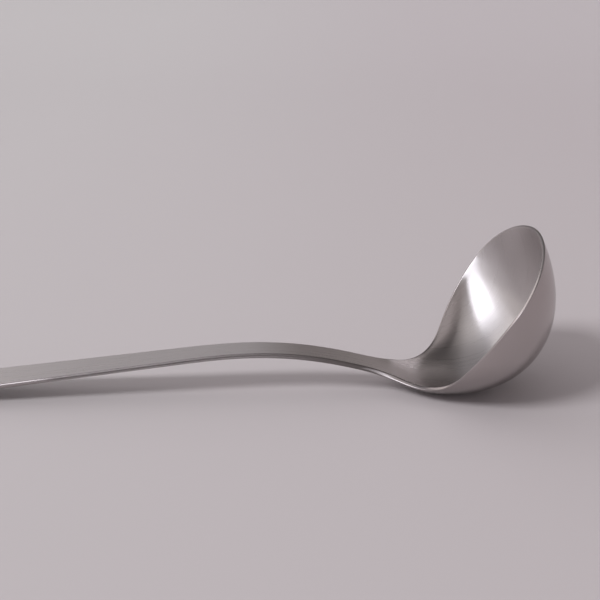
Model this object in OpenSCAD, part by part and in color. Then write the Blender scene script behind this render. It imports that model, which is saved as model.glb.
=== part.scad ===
// A soup ladle in one piece of stainless steel, standing as it comes to rest.
// The handle runs along X towards the bowl, and the ladle is the same on both sides of the XZ plane.
// Its side view is two lines: the rim line, which runs along the handle's top and the edge of the mouth,
// and the keel, which leaves the rim line at the neck and passes under the bowl to the lip.
// Sections between the two lines are circular arcs, and the wall is laid outside them.

/* [Handle] */
// Length along the top, from the end of the handle to the bend at the neck
handle_len = 268; // [220:1:310]
// Width of the top at the grip, inside its rounded edges
grip_w = 19.5; // [13:0.5:26]
// Width of the top at the waist, inside its rounded edges
waist_w = 11.5; // [7:0.5:16]
// Distance of the waist from the bend at the neck
waist_lead = 42; // [30:1:80]
// Thickness at the grip
handle_t = 2.25; // [1.5:0.05:3.5]
// Slope of the handle at its very end, in degrees
end_slope = 6.5; // [0:0.5:9]
// Slope of the grip, in degrees
grip_slope = 6.5; // [4:0.25:12]
// Length over which the end turns into the grip
grip_run = 43; // [25:1:80]
// Slope of the handle where it comes down to the neck, in degrees
neck_slope = -17.5; // [-24:0.5:-10]
// Length of the arch between the grip and the neck
arch_len = 109; // [80:1:150]

/* [Neck] */
// Thickness where the handle starts to flare
neck_t = 2.6; // [1.8:0.05:3.6]
// Length of the bend between the handle and the mouth
bend_len = 33; // [24:0.5:45]
// How far before the bend the handle starts to flare
flare_lead = 18.5; // [8:0.5:30]
// How long the flare keeps the direction of the handle's sides
flare_hold = 34.5; // [20:0.5:50]
// How long the keel keeps the direction of the handle
keel_hold = 23.5; // [12:0.5:32]
// Length over which the wall thins from the neck to the rim
wall_run = 58; // [35:1:90]

/* [Bowl] */
// Width of the mouth, inside the wall
mouth_w = 77.5; // [62:0.5:94]
// Length of the rim line from the bend to the lip
mouth_len = 67; // [58:0.5:80]
// Length of the rim line from the widest place to the lip
lip_len = 31; // [24:0.5:40]
// Slope of the mouth where it leaves the neck, in degrees
mouth_slope = 64.4; // [58:0.1:72]
// How much less steep the mouth is at the lip, in degrees
mouth_bow = 11.5; // [0:0.5:20]
// How long the mouth keeps its full width on the neck's side of the widest place
shoulder_hold = 42.5; // [25:0.5:55]
// Height of the lip above the lowest place inside the bowl
bowl_h = 77.6; // [70:0.2:85]
// Distance of that lowest place behind the lip, along X
bottom_back = 35.5; // [26:0.5:40]
// How long the keel stays level towards the neck
rear_hold = 23.5; // [12:0.5:36]
// How long the keel stays level towards the lip
front_hold = 31.5; // [15:0.5:34]
// How long the keel keeps the direction that it has at the lip
lip_hold = 53.5; // [40:0.5:70]
// Angle inside the bowl between the mouth and the wall at the lip, in degrees
lip_angle = 116.5; // [105:0.5:128]
// Thickness of the wall at the rim
rim_t = 1.15; // [0.8:0.05:1.8]

/* [Edges] */
// How far the rounded edges stand out, as a share of the thickness
edge_round = 0.25; // [0.05:0.01:0.5]

/* [Hidden] */

// Places along the rim line, measured from the end of the handle
bend_s = handle_len;
flare_s = bend_s - flare_lead;
waist_s = bend_s - waist_lead;
mouth_s = bend_s + bend_len;
lip_s = mouth_s + mouth_len;
widest_s = lip_s - lip_len;
// Radius of the round end of the handle
end_r = grip_w / 2;
// Arcs are kept under this half angle, so that no section closes over itself
widest_arc = 110;
// An arc flatter than this is drawn as good as straight
flattest_arc = 0.6;
// Half a width under this counts as none
no_width = 0.001;
// The outline of a rounded edge: 1 is a half ellipse, and less is fuller
edge_power = 0.6;

// Steps of the drawing
line_steps = 480;
curve_steps = 120;
cols = 20;
mid_col = cols / 2;
edge_pts = 3;
end_rows = 5;
handle_rows = 24;
flare_rows = 27;
bowl_rows = 17;

// A smooth step from 0 to 1
function ease(x) =
    let (u = min(max(x, 0), 1))
    u * u * (3 - 2 * u);

function mix(a, b, share) = a + (b - a) * share;

function direction(angle) = [cos(angle), sin(angle)];

function bezier(a, b, c, d, t) =
    pow(1 - t, 3) * a + 3 * pow(1 - t, 2) * t * b + 3 * (1 - t) * t * t * c + pow(t, 3) * d;

// Slope of the rim line in degrees, at a distance s from the end of the handle
function slope(s) =
    end_slope
    + (grip_slope - end_slope) * ease(s / grip_run)
    + (neck_slope - grip_slope) * ease((s - bend_s + arch_len) / arch_len)
    + (mouth_slope - neck_slope) * ease((s - bend_s) / bend_len)
    - mouth_bow * min(max((s - mouth_s) / mouth_len, 0), 1);

// The rim line as tables of x and z over s
line_step = lip_s / line_steps;
rim_line = [
    for (i = 0, x = 0, z = 0;
         i <= line_steps;
         x = x + line_step * cos(slope((i + 0.5) * line_step)),
         z = z + line_step * sin(slope((i + 0.5) * line_step)),
         i = i + 1)
    [i * line_step, x, z]
];
rim_x = [for (p = rim_line) [p[0], p[1]]];
rim_z = [for (p = rim_line) [p[0], p[2]]];

function on_rim_line(s) = [lookup(s, rim_x), lookup(s, rim_z)];

// The keel, from the rim line at the start of the flare, through the lowest place, to the lip
keel_start = on_rim_line(flare_s);
lip = on_rim_line(lip_s);
lowest = lip - [bottom_back, bowl_h];
lip_dir = direction(slope(lip_s) + 180 - lip_angle);
keel_pts = [
    for (i = [0 : curve_steps - 1])
        bezier(keel_start, keel_start + keel_hold * direction(slope(flare_s)),
               lowest - [rear_hold, 0], lowest, i / curve_steps),
    for (i = [0 : curve_steps])
        bezier(lowest, lowest + [front_hold, 0], lip - lip_hold * lip_dir, lip, i / curve_steps)
];
keel_run = [
    for (i = 0, run = 0;
         i < len(keel_pts);
         run = run + (i + 1 < len(keel_pts) ? norm(keel_pts[i + 1] - keel_pts[i]) : 0),
         i = i + 1)
    run
];
keel_len = keel_run[len(keel_run) - 1];
keel_x = [for (i = [0 : len(keel_pts) - 1]) [keel_run[i] / keel_len, keel_pts[i][0]]];
keel_z = [for (i = [0 : len(keel_pts) - 1]) [keel_run[i] / keel_len, keel_pts[i][1]]];

// The keel's point that belongs to the rim line's point at s
function on_keel(s) =
    let (share = (s - flare_s) / (lip_s - flare_s))
    s <= flare_s ? on_rim_line(s) : [lookup(share, keel_x), lookup(share, keel_z)];

// Half the width of the top or the mouth at s, without the round lip
flare_len = widest_s - flare_s;
flare = [
    for (i = [0 : curve_steps])
        let (t = i / curve_steps)
        [bezier(0, flare_hold, flare_len - shoulder_hold, flare_len, t), ease(t)]
];
function half_width(s) =
    mix(grip_w, waist_w, ease(s / waist_s)) / 2
    + (mouth_w - waist_w) / 2 * lookup(s - flare_s, flare);

function wall(s) =
    mix(handle_t, neck_t, ease(s / flare_s))
    + (rim_t - neck_t) * ease((s - flare_s) / wall_run);

// A point of the inner surface: v runs from -1 at one edge through 0 at the keel to 1 at the other edge
function inner(s, v) =
    let (r = on_rim_line(s),
         k = on_keel(s),
         past = min(max((s - widest_s) / lip_len, 0), 1),
         b = half_width(s) * sqrt(max(1 - past * past, 0)),
         arc = b < no_width ? flattest_arc
             : min(max(2 * atan2(norm(k - r), b), flattest_arc), widest_arc),
         share = (cos(arc * v) - cos(arc)) / (1 - cos(arc)),
         p = r + (k - r) * share)
    [p[0], b * sin(arc * v) / sin(arc), p[1]];

// The rows of the net turn about the middle of the round end and about the widest place of the bowl,
// so that they meet the edge squarely all the way round. Each row is a list of [s, v].
function across(j) = abs(j - mid_col) / mid_col;
function side(j) = sign(j - mid_col);
function end_row(turn) = [
    for (j = [0 : cols])
        [end_r * (1 - across(j) * cos(turn)), across(j) * sin(turn) * side(j)]
];
function straight_row(s) = [for (j = [0 : cols]) [s, across(j) * side(j)]];
function bowl_row(turn) = [
    for (j = [0 : cols])
        let (ahead = across(j) * cos(turn),
             reach = ahead < 1 ? sqrt(1 - ahead * ahead) : 1)
        [widest_s + lip_len * ahead, across(j) * sin(turn) * side(j) / reach]
];
net = concat(
    [for (i = [0 : end_rows - 1]) end_row(90 * i / end_rows)],
    [for (i = [0 : handle_rows - 1]) straight_row(mix(end_r, flare_s, i / handle_rows))],
    [for (i = [0 : flare_rows - 1]) straight_row(mix(flare_s, widest_s, i / flare_rows))],
    [for (i = [0 : bowl_rows]) bowl_row(90 * (1 - i / bowl_rows))]
);
rows = len(net);
first_bowl_row = rows - 1 - bowl_rows;
top = [for (row = net) [for (p = row) inner(p[0], p[1])]];

// The first and last rows are folded double, and what lies beyond them is the row before, mirrored
function top_pt(i, j) = i < 0 ? top[1][cols - j] : i >= rows ? top[rows - 2][cols - j] : top[i][j];

function unit(v) = v / norm(v);

// Direction along a row, pointing to the side where v grows
function along_row(i, j) =
    j == 0 ? 4 * top[i][1] - 3 * top[i][0] - top[i][2]
    : j == cols ? 3 * top[i][cols] - 4 * top[i][cols - 1] + top[i][cols - 2]
    : top[i][j + 1] - top[i][j - 1];

// Direction out of the inner surface, into the bowl
function inward(i, j) =
    j == mid_col && i < end_rows ? level_normal(top[end_rows][j], top[end_rows + 1][j])
    : j == mid_col && i >= first_bowl_row ? level_normal(top[first_bowl_row - 1][j], top[rows - 1][j + 1])
    : unit(cross(top_pt(i + 1, j) - top_pt(i - 1, j), along_row(i, j)));
function level_normal(from, to) = unit([from[2] - to[2], 0, to[0] - from[0]]);

under = [
    for (i = [0 : rows - 1])
    [for (j = [0 : cols]) top[i][j] - wall(net[i][j][0]) * inward(i, j)]
];

// The rounded edge of a row, from the inner surface to the outer one
function edge(i, j) =
    let (t = wall(net[i][j][0]),
         middle = (top[i][j] + under[i][j]) / 2,
         half = (top[i][j] - under[i][j]) / 2,
         out = unit(along_row(i, j)) * side(j) * t * edge_round)
    [for (q = [1 : edge_pts])
        let (a = 180 * q / (edge_pts + 1))
        middle + half * sign(cos(a)) * pow(abs(cos(a)), edge_power) + out * pow(sin(a), edge_power)];

// One closed ring of points for each row: top, edge, underside, edge
function ring(i) = concat(
    top[i],
    edge(i, cols),
    [for (j = [0 : cols]) under[i][cols - j]],
    [for (q = [edge_pts - 1 : -1 : 0]) edge(i, 0)[q]]
);
ring_size = 2 * (cols + 1 + edge_pts);
drawn = [for (i = [0 : rows - 1]) each ring(i)];

// At rest the end of the handle and the keel stand on the floor: the angle of the line under both
underline = concat(
    [for (j = [0 : mid_col]) under[0][j]],
    [for (i = [0 : rows - 1]) under[i][mid_col]],
    [for (j = [mid_col : cols]) under[rows - 1][j]]
);
mid_x = (top[0][0][0] + lip[0]) / 2;
at_end = [for (p = underline) if (p[0] < mid_x) p];
at_bowl = [for (p = underline) if (p[0] >= mid_x) p];
rest_angle = max([
    for (p = at_end)
        min([for (q = at_bowl) atan2(q[2] - p[2], q[0] - p[0])])
]);
function at_rest(p) = [
    p[0] * cos(rest_angle) + p[2] * sin(rest_angle),
    p[1],
    p[2] * cos(rest_angle) - p[0] * sin(rest_angle)
];
rested = [for (p = drawn) at_rest(p)];
rested_x = [for (p = rested) p[0]];
origin = [(min(rested_x) + max(rested_x)) / 2, 0, min([for (p = rested) p[2]])];
skin = [for (p = rested) p - origin];

// A point that two places of the net share is used once, under the lower of its numbers
function unfolded(i, k) = i == 0 || i == rows - 1 ? min(k, (cols - k + ring_size) % ring_size) : k;
function is_middle(k) = k == mid_col || k == cols + edge_pts + 1 + mid_col;
function number(i, k) =
    let (row = !is_middle(k) ? i : i < end_rows ? end_rows : i > first_bowl_row ? first_bowl_row : i)
    row * ring_size + unfolded(row, k);
function is_whole(f) = f[0] != f[1] && f[1] != f[2] && f[2] != f[0];
faces = [
    for (i = [0 : rows - 2], k = [0 : ring_size - 1])
        let (n = (k + 1) % ring_size,
             a = number(i, k),
             b = number(i, n),
             c = number(i + 1, n),
             d = number(i + 1, k),
             mirrored = k >= mid_col && k < cols + edge_pts + 1 + mid_col)
        for (f = mirrored ? [[a, b, d], [b, c, d]] : [[a, b, c], [a, c, d]])
            if (is_whole(f)) f
];

module ladle() {
    color([0.62, 0.6, 0.59])
    polyhedron(points = skin, faces = faces, convexity = 8);
}

ladle();
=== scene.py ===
import math

import bmesh
import bpy
import numpy as np
from mathutils import Matrix, Vector


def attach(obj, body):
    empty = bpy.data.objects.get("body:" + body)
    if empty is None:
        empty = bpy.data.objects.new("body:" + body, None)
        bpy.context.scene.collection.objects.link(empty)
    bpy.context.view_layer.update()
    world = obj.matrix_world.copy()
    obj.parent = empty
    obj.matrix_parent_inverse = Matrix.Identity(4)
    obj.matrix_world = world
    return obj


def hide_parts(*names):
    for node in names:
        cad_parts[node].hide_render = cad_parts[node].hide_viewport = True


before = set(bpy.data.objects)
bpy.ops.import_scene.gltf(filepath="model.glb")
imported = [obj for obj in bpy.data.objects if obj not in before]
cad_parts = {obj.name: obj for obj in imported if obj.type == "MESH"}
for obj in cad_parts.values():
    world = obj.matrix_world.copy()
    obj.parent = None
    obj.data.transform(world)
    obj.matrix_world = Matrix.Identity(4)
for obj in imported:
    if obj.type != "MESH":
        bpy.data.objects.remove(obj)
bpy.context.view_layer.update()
mm = 0.001
print("frame loaded")

# the ladle in millimetres and degrees: the solid's own sizes, drawn with a finer net. A Lead, Run or Len
# is a distance along the steel, and a Hold is how far a curve keeps on in its first direction
ladle = {
    "handleLen": 268, "gripWidth": 19.5, "waistWidth": 11.5, "waistLead": 42, "handleThick": 2.25,
    "endSlope": 6.5, "gripSlope": 6.5, "gripRun": 43, "neckSlope": -17.5, "archLen": 109,
    "neckThick": 2.6, "bendLen": 33, "flareLead": 18.5, "flareHold": 34.5, "keelHold": 23.5, "wallRun": 58,
    "mouthWidth": 77.5, "mouthLen": 67, "lipLen": 31, "mouthSlope": 64.4, "mouthBow": 11.5,
    "shoulderHold": 42.5, "bowlHeight": 77.6, "bottomBack": 35.5, "rearHold": 23.5, "frontHold": 31.5,
    "lipHold": 53.5, "lipAngle": 116.5, "rimThick": 1.15,
    "edgeOut": 0.25,    # how far the rounded edges stand out, as a share of the thickness
    "edgePower": 0.6,   # under 1, so the edges are fuller than a half round
    "widestArc": 110, "flattestArc": 0.6,    # half of a section's arc, in degrees
    "thinnest": 0.001,         # a section narrower than this is a point
    "lineSteps": 4800, "curveSteps": 1500,
    "columns": 60, "edgePoints": 8, "endRows": 12, "handleRows": 80, "flareRows": 90, "bowlRows": 56,
    "weld": 0.001,
    "nearZero": 1e-12,         # keeps a division away from nought
    "endPoints": 200,          # how many of the handle's lowest points are tried as the one it rests on
    "shineCentre": (-10, 0, 0),    # in metres, far beyond the end of the handle
}

# places along the rim line, measured from the end of the handle
bendAt = ladle["handleLen"]
flareAt = bendAt - ladle["flareLead"]
waistAt = bendAt - ladle["waistLead"]
mouthAt = bendAt + ladle["bendLen"]
lipAt = mouthAt + ladle["mouthLen"]
widestAt = lipAt - ladle["lipLen"]
endRadius = ladle["gripWidth"] / 2


def ease(x):
    u = np.clip(x, 0, 1)
    return u * u * (3 - 2 * u)


def between(a, b, share):
    return a + (b - a) * share


def bezier(points, t):
    weights = np.array([(1 - t) ** 3, 3 * (1 - t) ** 2 * t, 3 * (1 - t) * t * t, t ** 3])
    return weights.T @ np.array(points, float)


def direction(angle):
    return np.array([math.cos(math.radians(angle)), math.sin(math.radians(angle))])


def unit(v):
    return v / np.linalg.norm(v, axis=-1, keepdims=True)


def slopeAt(s):
    return (ladle["endSlope"]
            + (ladle["gripSlope"] - ladle["endSlope"]) * ease(s / ladle["gripRun"])
            + (ladle["neckSlope"] - ladle["gripSlope"]) * ease((s - bendAt) / ladle["archLen"] + 1)
            + (ladle["mouthSlope"] - ladle["neckSlope"]) * ease((s - bendAt) / ladle["bendLen"])
            - ladle["mouthBow"] * np.clip((s - mouthAt) / ladle["mouthLen"], 0, 1))


# the side view: the rim line runs along the handle's top and the edge of the mouth
lineAt = np.linspace(0, lipAt, ladle["lineSteps"] + 1)
turns = np.radians(slopeAt((lineAt[1:] + lineAt[:-1]) / 2))
rimX = np.append(0, np.cumsum(np.cos(turns))) * lineAt[1]
rimZ = np.append(0, np.cumsum(np.sin(turns))) * lineAt[1]


def onRim(s):
    return np.stack([np.interp(s, lineAt, rimX), np.interp(s, lineAt, rimZ)], -1)


# the keel leaves it at the start of the flare and passes under the bowl to the lip
curveAt = np.linspace(0, 1, ladle["curveSteps"] + 1)
keelStart, lip = onRim(flareAt), onRim(lipAt)
lowest = lip - [ladle["bottomBack"], ladle["bowlHeight"]]
lipDirection = direction(slopeAt(lipAt) + 180 - ladle["lipAngle"])
keel = np.concatenate([
    bezier([keelStart, keelStart + ladle["keelHold"] * direction(slopeAt(flareAt)),
            lowest - [ladle["rearHold"], 0], lowest], curveAt[:-1]),
    bezier([lowest, lowest + [ladle["frontHold"], 0], lip - ladle["lipHold"] * lipDirection, lip], curveAt),
])
keelRun = np.append(0, np.cumsum(np.linalg.norm(np.diff(keel, axis=0), axis=1)))
keelRun /= keelRun[-1]


def onKeel(s):
    share = (s - flareAt) / (lipAt - flareAt)
    kept = np.stack([np.interp(share, keelRun, keel[:, 0]), np.interp(share, keelRun, keel[:, 1])], -1)
    return np.where((s <= flareAt)[..., None], onRim(s), kept)


flareLen = widestAt - flareAt
flareRun = bezier([0, ladle["flareHold"], flareLen - ladle["shoulderHold"], flareLen], curveAt)


def halfWidth(s):
    handle = between(ladle["gripWidth"], ladle["waistWidth"], ease(s / waistAt)) / 2
    spread = (ladle["mouthWidth"] - ladle["waistWidth"]) / 2
    return handle + spread * np.interp(s - flareAt, flareRun, ease(curveAt))


def wall(s):
    return (between(ladle["handleThick"], ladle["neckThick"], ease(s / flareAt))
            + (ladle["rimThick"] - ladle["neckThick"]) * ease((s - flareAt) / ladle["wallRun"]))


def innerSurface(s, v):
    # points of the inner surface, and how far each is from the middle along its section
    rim, low = onRim(s), onKeel(s)
    past = np.clip((s - widestAt) / ladle["lipLen"], 0, 1)
    half = halfWidth(s) * np.sqrt(1 - past * past)
    arc = 2 * np.degrees(np.arctan2(np.linalg.norm(low - rim, axis=-1), half))
    arc = np.where(half < ladle["thinnest"], ladle["flattestArc"],
                   np.clip(arc, ladle["flattestArc"], ladle["widestArc"]))
    whole, part = np.radians(arc), np.radians(arc) * v
    share = (np.cos(part) - np.cos(whole)) / (1 - np.cos(whole))
    side = rim + (low - rim) * share[..., None]
    points = np.stack([side[..., 0], half * np.sin(part) / np.sin(whole), side[..., 1]], -1)
    return points, half * part / np.sin(whole)


def makeNet():
    # s is the place along the rim line and v runs from -1 to 1 across. The rows meet the edge squarely
    # and are folded double at the handle's end and at the lip
    steps = np.linspace(-1, 1, ladle["columns"] + 1)
    across, side = np.abs(steps), np.sign(steps)
    quarter = np.pi / 2
    endTurn = quarter * np.arange(ladle["endRows"])[:, None] / ladle["endRows"]
    bowlTurn = quarter * (1 - np.arange(ladle["bowlRows"] + 1)[:, None] / ladle["bowlRows"])
    handleS = between(endRadius, flareAt, np.arange(ladle["handleRows"]) / ladle["handleRows"])
    flareS = between(flareAt, widestAt, np.arange(ladle["flareRows"]) / ladle["flareRows"])
    straight = np.concatenate([handleS, flareS])[:, None]
    ahead = across * np.cos(bowlTurn)
    bowlV = across * np.sin(bowlTurn) * side / np.sqrt(np.maximum(1 - ahead * ahead, ladle["nearZero"]))
    s = np.concatenate([endRadius * (1 - across * np.cos(endTurn)),
                        straight + 0 * steps, widestAt + ladle["lipLen"] * ahead])
    v = np.concatenate([across * np.sin(endTurn) * side, 0 * straight + steps, bowlV])
    return s, v, side


def ladleNet():
    s, v, side = makeNet()
    top, fromMiddle = innerSurface(s, v)
    middle, lastRow = ladle["columns"] // 2, len(top) - 1
    firstBowl = lastRow - ladle["bowlRows"]
    # beyond a folded row lies the mirror image of the next one
    beyond = np.concatenate([top[1:2, ::-1], top, top[-2:-1, ::-1]])
    along = beyond[2:] - beyond[:-2]
    acrossRow = np.empty_like(top)
    acrossRow[:, 1:-1] = top[:, 2:] - top[:, :-2]
    # one-sided slopes at the two edges
    acrossRow[:, 0] = 4 * top[:, 1] - 3 * top[:, 0] - top[:, 2]
    acrossRow[:, -1] = 3 * top[:, -1] - 4 * top[:, -2] + top[:, -3]
    inward = np.cross(along, acrossRow)
    # at the end and in the bowl the rows' middle points fall together, so they take one direction
    endFold = top[ladle["endRows"] + 1, middle] - top[0, middle]
    lipFold = top[lastRow, middle + 1] - top[firstBowl - 1, middle]
    for rows, run in [(slice(0, ladle["endRows"]), endFold), (slice(firstBowl, lastRow + 1), lipFold)]:
        inward[rows, middle] = [-run[2], 0, run[0]]
    thick = wall(s)[..., None]
    under = top - thick * unit(inward)
    # the rounded edges, from the inner surface to the outer one
    turn = np.pi * np.arange(1, ladle["edgePoints"] + 1)[:, None] / (ladle["edgePoints"] + 1)
    down = np.sign(np.cos(turn)) * np.abs(np.cos(turn)) ** ladle["edgePower"]
    out = np.sin(turn) ** ladle["edgePower"]

    def edge(column):
        centre = (top[:, column] + under[:, column])[:, None] / 2
        half = (top[:, column] - under[:, column])[:, None] / 2
        away = unit(acrossRow[:, column]) * side[column] * thick[:, column] * ladle["edgeOut"]
        return centre + half * down + away[:, None] * out

    # each row runs round the steel: inner face, edge, outer face and the other edge
    points = np.concatenate([top, edge(-1), under[:, ::-1], edge(0)[:, ::-1]], 1)

    def allRound(value):
        edges = [np.repeat(value[:, column, None], ladle["edgePoints"], 1) for column in (-1, 0)]
        return np.concatenate([value, edges[0], value[:, ::-1], edges[1]], 1)

    face, rounded = np.ones_like(s), np.ones((len(s), ladle["edgePoints"]))
    held = {
        "alongSteel": allRound(s),              # mm from the end of the handle
        "acrossSteel": allRound(fromMiddle),    # mm from the middle, along the section
        "brushed": np.concatenate([face, 0 * rounded, face, 0 * rounded], 1),    # not the edges
        "outside": np.concatenate([0 * face, rounded, face, rounded], 1),        # all but the inner face
    }
    return points, held, under


def restAngle(under):
    # at rest the end of the handle and the keel stand on the floor: the slope of the line under both
    line = under.reshape(-1, 3)
    middle = (rimX[0] + lip[0]) / 2
    atEnd, atBowl = line[line[:, 0] < middle], line[line[:, 0] >= middle]
    atEnd = atEnd[np.argsort(atEnd[:, 2])[:ladle["endPoints"]]]
    rise = np.arctan2(atBowl[None, :, 2] - atEnd[:, None, 2], atBowl[None, :, 0] - atEnd[:, None, 0])
    return rise.min(1).max()


def addObject(name, data):
    item = bpy.data.objects.new(name, data)
    bpy.context.scene.collection.objects.link(item)
    return item


def buildLadle():
    points, held, under = ladleNet()
    angle = restAngle(under)
    x = points[..., 0] * math.cos(angle) + points[..., 2] * math.sin(angle)
    z = points[..., 2] * math.cos(angle) - points[..., 0] * math.sin(angle)
    x -= (x.min() + x.max()) / 2
    z -= z.min()
    placed = np.stack([x, points[..., 1], z], -1)
    rows, around = placed.shape[:2]
    number = np.arange(rows * around).reshape(rows, around)
    onward = np.roll(number, -1, 1)
    quads = np.stack([number[:-1], onward[:-1], onward[1:], number[1:]], -1).reshape(-1, 4)
    mesh = bpy.data.meshes.new("ladleBody")
    mesh.from_pydata((placed.reshape(-1, 3) * mm).tolist(), [], quads.tolist())
    for name, value in held.items():
        attribute = mesh.attributes.new(name, "FLOAT", "POINT")
        attribute.data.foreach_set("value", value.ravel().astype(np.float32))
    net = bmesh.new()
    net.from_mesh(mesh)
    bmesh.ops.remove_doubles(net, verts=net.verts, dist=ladle["weld"] * mm)
    bmesh.ops.recalc_face_normals(net, faces=net.faces)
    for face in net.faces:
        face.smooth = True
    net.to_mesh(mesh)
    net.free()
    # the shine is stretched around this far point, so straight across the brush lines
    mesh.use_auto_texspace = False
    mesh.texspace_location, mesh.texspace_size = ladle["shineCentre"], (1, 1, 1)
    return addObject("ladleBody", mesh)


ladleBody = buildLadle()
print("ladle built:", len(ladleBody.data.vertices), "points,", len(ladleBody.data.polygons), "faces")

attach(ladleBody, "root")
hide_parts("ladle")


class Wire:
    # one output of a shader node: an operator on it adds a Math node
    def __init__(self, look, socket):
        self.look, self.socket = look, socket

    def math(self, operation, *values):
        return self.look.add("ShaderNodeMath", {"operation": operation}, dict(enumerate(values)))["Value"]

    def __add__(self, other):
        return self.math("ADD", self, other)

    def __sub__(self, other):
        return self.math("SUBTRACT", self, other)

    def __rsub__(self, other):
        return self.math("SUBTRACT", other, self)

    def __mul__(self, other):
        return self.math("MULTIPLY", self, other)

    def __truediv__(self, other):
        return self.math("DIVIDE", self, other)

    def __rtruediv__(self, other):
        return self.math("DIVIDE", other, self)

    def __pow__(self, other):
        return self.math("POWER", self, other)

    def __rpow__(self, other):
        return self.math("POWER", other, self)

    __radd__, __rmul__ = __add__, __mul__


class Look:
    # the nodes of one material or of the world
    def __init__(self, owner):
        owner.use_nodes = True
        self.tree = owner.node_tree
        self.tree.nodes.clear()

    def add(self, kind, settings=None, sockets=None):
        node = self.tree.nodes.new(kind)
        for name, value in (settings or {}).items():
            if name == "stops":
                ramp = node.color_ramp
                while len(ramp.elements) < len(value):
                    ramp.elements.new(1)
                for stop, (place, colour) in zip(ramp.elements, value):
                    stop.position, stop.color = place, (*colour, 1)
            else:
                setattr(node, name, value)
        for name, value in (sockets or {}).items():
            if isinstance(value, Wire):
                self.tree.links.new(value.socket, node.inputs[name])
            else:
                node.inputs[name].default_value = value
        return {out.name: Wire(self, out) for out in node.outputs if out.enabled}

    def clamp(self, value):
        return self.add("ShaderNodeClamp", None, {"Value": value})["Result"]

    def mixColour(self, share, first, second):
        # the node's sockets share their names, so they go by place: 0 the share, 6 and 7 the colours
        first, second = [end if isinstance(end, Wire) else (*end, 1) for end in (first, second)]
        return self.add("ShaderNodeMix", {"data_type": "RGBA"}, {0: share, 6: first, 7: second})["Result"]


steel = {
    "pale": (0.6, 0.568, 0.562), "dull": (0.56, 0.528, 0.522), "roughness": 0.29, "roughnessSpread": 0.06,
    # painted shade: the outside is the same steel as the inside, given a darker colour for the shade it
    # reflects
    "outer": (0.485, 0.445, 0.437), "outerRoughness": 0.16,
    # painted shade: the outside darkens near the table, for the shaded table that it reflects
    "paintedShade": (0.275, 0.247, 0.244), "paintedShadeFrom": 0.03, "paintedShadeTo": 0.004,    # the underside: metres up
    # the cut edge is painted darker, a painted dark reflection, and made rougher along the arch of the
    # handle and at the lip: mm from the handle's end
    "paintedDarkEdge": (0.25, 0.228, 0.222), "dullRoughness": 0.3,
    "darkEdgeSpans": [(88, 268), (354, 380)], "darkEdgeFade": 12,
    "stretch": 0.93,         # how strongly the shine is stretched across the brush lines, 0 to 1
    "lineDepth": 0.0000016,  # metres
    # fine and wide brush lines: how many of them to a mm across and along the steel
    "fineAcross": 6, "fineAlong": 0.04, "fineDetail": 3.0,
    "wideAcross": 0.9, "wideAlong": 0.012, "wideDetail": 2.0,
    "lineRoughness": 0.6, "lineTint": 0.8,
    "cloudSize": 14, "cloudDetail": 2.0,    # faint clouds of paler and duller steel
}


def steelMaterial():
    material = bpy.data.materials.new("brushedSteel")
    look = Look(material)

    def held(name):
        return look.add("ShaderNodeAttribute", {"attribute_name": name})["Fac"]

    along, across = held("alongSteel"), held("acrossSteel")
    brushed, outside = held("brushed"), held("outside")

    def lines(name):
        place = look.add("ShaderNodeCombineXYZ", None, {
            "X": along * steel[name + "Along"], "Y": across * steel[name + "Across"]})["Vector"]
        noise = look.add("ShaderNodeTexNoise", {"noise_dimensions": "2D"}, {
            "Vector": place, "Scale": 1.0, "Detail": steel[name + "Detail"],
            "Roughness": steel["lineRoughness"]})["Fac"]
        return noise - 0.5    # centred on 0

    fine, wide = lines("fine"), lines("wide")
    place = look.add("ShaderNodeTexCoord")["Object"]
    cloud = look.add("ShaderNodeTexNoise", None, {
        "Vector": place, "Scale": steel["cloudSize"], "Detail": steel["cloudDetail"]})["Fac"]
    colour = look.mixColour(wide * brushed * steel["lineTint"] + cloud, steel["dull"], steel["pale"])
    # the outside takes its darker colour, painted shade
    colour = look.mixColour(outside, colour, steel["outer"])
    height = look.add("ShaderNodeSeparateXYZ", None, {"Vector": place})["Z"]
    # painted shade, strongest on the lowest part of the outside
    paintedShade = look.clamp((height - steel["paintedShadeFrom"]) / (steel["paintedShadeTo"] - steel["paintedShadeFrom"])) * outside
    colour = look.mixColour(paintedShade, colour, steel["paintedShade"])
    # the spans where the cut edge gets its painted dark reflection and its extra roughness
    spans = [look.clamp((along - start) / steel["darkEdgeFade"]) * look.clamp((end - along) / steel["darkEdgeFade"])
             for start, end in steel["darkEdgeSpans"]]
    dull = look.clamp((outside - brushed) * sum(spans))    # the edge is outside and isn't brushed
    colour = look.mixColour(dull, colour, steel["paintedDarkEdge"])
    roughness = (steel["roughness"] + outside * (steel["outerRoughness"] - steel["roughness"])
                 + dull * steel["dullRoughness"]
                 + (fine + wide) * brushed * steel["roughnessSpread"])
    bump = look.add("ShaderNodeBump", None, {
        "Height": (fine + wide) * brushed, "Distance": steel["lineDepth"], "Strength": 1.0})["Normal"]
    surface = look.add("ShaderNodeBsdfPrincipled", None, {
        "Base Color": colour, "Metallic": 1.0, "Roughness": roughness, "Normal": bump,
        "Anisotropic": steel["stretch"]})["BSDF"]
    look.add("ShaderNodeOutputMaterial", None, {"Surface": surface})
    return material


ladleBody.data.materials.append(steelMaterial())
print("steel laid on")

# in metres and degrees
table = {
    "reach": 6.0,    # how far it goes to each side and to the front
    "back": 1.2,    # where it starts to curve up
    "sweep": 3.0, "sweepAngle": 40, "sweepSteps": 40,
    # painted light: the colours make the table lighter to the left and, on the right, lighter far back, for
    # how the light falls across it
    "left": (0.54, 0.513, 0.529), "right": (0.502, 0.459, 0.48), "fadeFrom": -0.3, "fadeTo": 0.4,
    "paintedLightFarLeft": (0.534, 0.515, 0.526), "paintedLightFarRight": (0.53, 0.494, 0.518), "farAt": 2.4,
    "roughness": 0.48, "sheen": 0.4,
}


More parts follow.
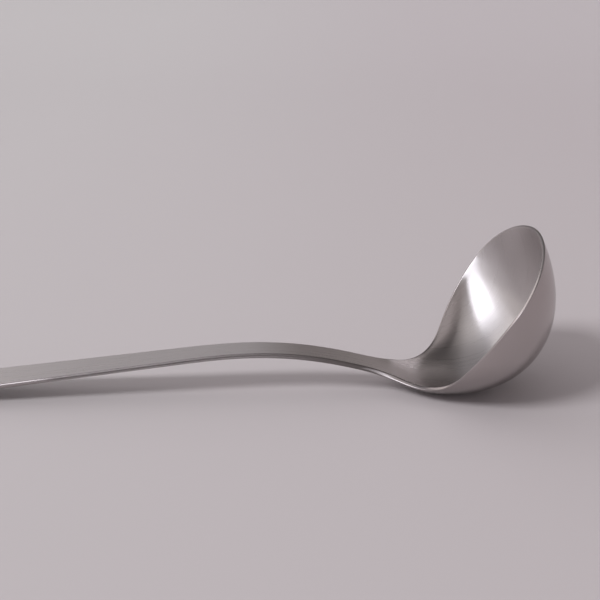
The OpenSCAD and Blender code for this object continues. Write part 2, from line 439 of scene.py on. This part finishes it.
def buildTable():
    # one sheet: flat under the ladle, curving up far behind it
    turn = np.linspace(0, math.radians(table["sweepAngle"]), table["sweepSteps"] + 1)
    y = np.append(-table["reach"], table["back"] + table["sweep"] * np.sin(turn))
    z = np.append(0, table["sweep"] * (1 - np.cos(turn)))
    sides = [np.stack([np.full_like(y, x), y, z], -1) for x in (-table["reach"], table["reach"])]
    points = np.concatenate(sides)
    count = len(y)
    faces = [(i, i + count, i + count + 1, i + 1) for i in range(count - 1)]
    mesh = bpy.data.meshes.new("table")
    mesh.from_pydata(points.tolist(), [], faces)
    mesh.shade_smooth()
    sheet = addObject("table", mesh)
    material = bpy.data.materials.new("paleTable")
    look = Look(material)
    place = look.add("ShaderNodeTexCoord")["Object"]
    part = look.add("ShaderNodeSeparateXYZ", None, {"Vector": place})
    # the painted light: lighter to the left, and lighter further back on the right
    share = look.clamp((part["X"] - table["fadeFrom"]) / (table["fadeTo"] - table["fadeFrom"]))
    near, far = [look.mixColour(share, table[left], table[right])
                 for left, right in (("left", "right"), ("paintedLightFarLeft", "paintedLightFarRight"))]
    colour = look.mixColour(look.clamp(part["Y"] / table["farAt"]), near, far)
    surface = look.add("ShaderNodeBsdfPrincipled", None, {
        "Base Color": colour, "Roughness": table["roughness"],
        "Specular IOR Level": table["sheen"]})["BSDF"]
    look.add("ShaderNodeOutputMaterial", None, {"Surface": surface})
    mesh.materials.append(material)


buildTable()

lights = {
    "aimAt": (0.12, 0, 0.04), "sunDistance": 2, "panelDistance": 20,    # metres
    "sunTowards": (-0.9027, -0.5234, 1), "sunStrength": 1.9, "sunSpread": 15,
    # each panel: its place around and above the ladle, width, height and tilt in degrees, and glow
    "panels": {"softbox": (-158, 15, 45, 28, -47, 2.5), "softEdge": (-150, 10, 68, 44, -45, 0.68),
               "frontPanel": (-168, 47, 35, 34, 0, 0.42), "backPanel": (-70, 34, 42, 38, 0, 0.68),
               "overhead": (-50, 62, 80, 80, 0, 0.3)},
    # some panels are seen only in the shine of the steel, and some only light what isn't shiny
    "shineOnly": ("softbox", "softEdge"), "fillOnly": ("overhead",),
    "shineColour": (0.95, 0.975, 1.06), "fillColour": (1.03, 0.985, 0.965),
    # the surroundings from the horizon, 0, to straight above, 1
    "worldLeft": [(0, (0.75, 0.7, 0.695)), (0.25, (0.685, 0.645, 0.65)), (0.5, (0.515, 0.492, 0.503)),
                  (0.75, (0.43, 0.413, 0.43)), (0.92, (0.3, 0.29, 0.303)), (1, (0.275, 0.262, 0.27))],
    "worldRight": [(0, (0.225, 0.2, 0.196)), (0.15, (0.33, 0.297, 0.291)), (0.42, (0.375, 0.337, 0.33)),
                   (0.7, (0.165, 0.15, 0.15)), (1, (0.12, 0.11, 0.11))],
    "turnFrom": -0.08, "turnTo": 0.13,    # where the left side gives way to the right
    # the part behind the camera: the cosine that it starts at, how high it goes, and their soft edges
    "worldFront": (0.26, 0.245, 0.24), "frontFrom": 0.85, "frontWidth": 0.1,
    "frontTop": 0.42, "frontFade": 0.2,
    # parts of the ceiling: direction, half width and soft edge in degrees, colour
    "patches": [(52, 58, 11, 12, (0.48, 0.44, 0.44)), (25, 52, 5, 7, (0.06, 0.054, 0.054)),
                (132, 60, 17, 12, (0.02, 0.018, 0.018))],
}


def compass(around, above):
    # around: 0 is away from the camera, 90 is to the right
    flat = math.cos(math.radians(above))
    return Vector((flat * math.sin(math.radians(around)), flat * math.cos(math.radians(around)),
                   math.sin(math.radians(above))))


def addLamp(name, kind, towards, distance, settings):
    data = bpy.data.lights.new(name, kind)
    for key, value in settings.items():
        setattr(data, key, value)
    lamp = addObject(name, data)
    lamp.location = Vector(lights["aimAt"]) + towards * distance
    lamp.rotation_euler = towards.to_track_quat("Z", "Y").to_euler()
    return lamp


def addLights():
    sun = addLamp("sun", "SUN", Vector(lights["sunTowards"]).normalized(), lights["sunDistance"],
                  {"energy": lights["sunStrength"], "angle": math.radians(lights["sunSpread"])})
    sun.visible_glossy = False
    distance = lights["panelDistance"]
    for name, (around, above, width, height, tilt, glow) in lights["panels"].items():
        wide, high = [2 * distance * math.tan(math.radians(size / 2)) for size in (width, height)]
        # with this energy a panel's glow is the level that it shows in a mirror
        lamp = addLamp(name, "AREA", compass(around, above), distance, {
            "shape": "RECTANGLE", "size": wide, "size_y": high, "energy": glow * math.pi * wide * high,
            "color": lights["shineColour" if name in lights["shineOnly"] else "fillColour"]})
        lamp.rotation_euler.rotate_axis("Z", math.radians(tilt))
        lamp.visible_camera = False
        lamp.visible_diffuse = name not in lights["shineOnly"]
        lamp.visible_glossy = name not in lights["fillOnly"]
    world = bpy.data.worlds.new("room")
    bpy.context.scene.world = world
    look = Look(world)
    towards = look.add("ShaderNodeTexCoord")["Generated"]
    part = look.add("ShaderNodeSeparateXYZ", None, {"Vector": towards})
    left, right = [look.add("ShaderNodeValToRGB", {"stops": lights[side]}, {"Fac": part["Z"]})["Color"]
                   for side in ("worldLeft", "worldRight")]
    share = look.clamp((part["X"] - lights["turnFrom"]) / (lights["turnTo"] - lights["turnFrom"]))
    colour = look.mixColour(share, left, right)
    level = (1 - part["Z"] * part["Z"]) ** 0.5
    front = look.clamp((-1 * part["Y"] / level - lights["frontFrom"]) / lights["frontWidth"])
    front = front * look.clamp((lights["frontTop"] - part["Z"]) / lights["frontFade"])
    colour = look.mixColour(front, colour, lights["worldFront"])
    for around, above, reach, soft, patchColour in lights["patches"]:
        facing = look.add("ShaderNodeVectorMath", {"operation": "DOT_PRODUCT"},
                          {0: towards, 1: compass(around, above)})["Value"]
        away = facing.math("ARCCOSINE", facing)
        share = look.clamp((math.radians(reach + soft) - away) / math.radians(soft))
        colour = look.mixColour(share, colour, patchColour)
    glow = look.add("ShaderNodeBackground", None, {"Color": colour, "Strength": 1.0})["Background"]
    look.add("ShaderNodeOutputWorld", None, {"Surface": glow})


addLights()

view = {
    "lens": 46.2, "sensor": 36,    # mm
    "down": 22.7, "roll": -1.022,    # degrees
    "aimAt": (0.05005, 0, 0.04802), "distance": 0.3638, "nearest": 0.01,    # metres
}


def addCamera():
    data = bpy.data.cameras.new("camera")
    data.lens, data.sensor_width, data.clip_start = view["lens"], view["sensor"], view["nearest"]
    camera = addObject("camera", data)
    turn = (Matrix.Rotation(math.radians(90 - view["down"]), 4, "X")
            @ Matrix.Rotation(math.radians(view["roll"]), 4, "Z"))
    back = turn.to_3x3() @ Vector((0, 0, 1))
    camera.matrix_world = Matrix.Translation(Vector(view["aimAt"]) + back * view["distance"]) @ turn
    bpy.context.scene.camera = camera


addCamera()
bpy.context.scene.view_settings.view_transform = "Standard"
print("table, lights and camera set")
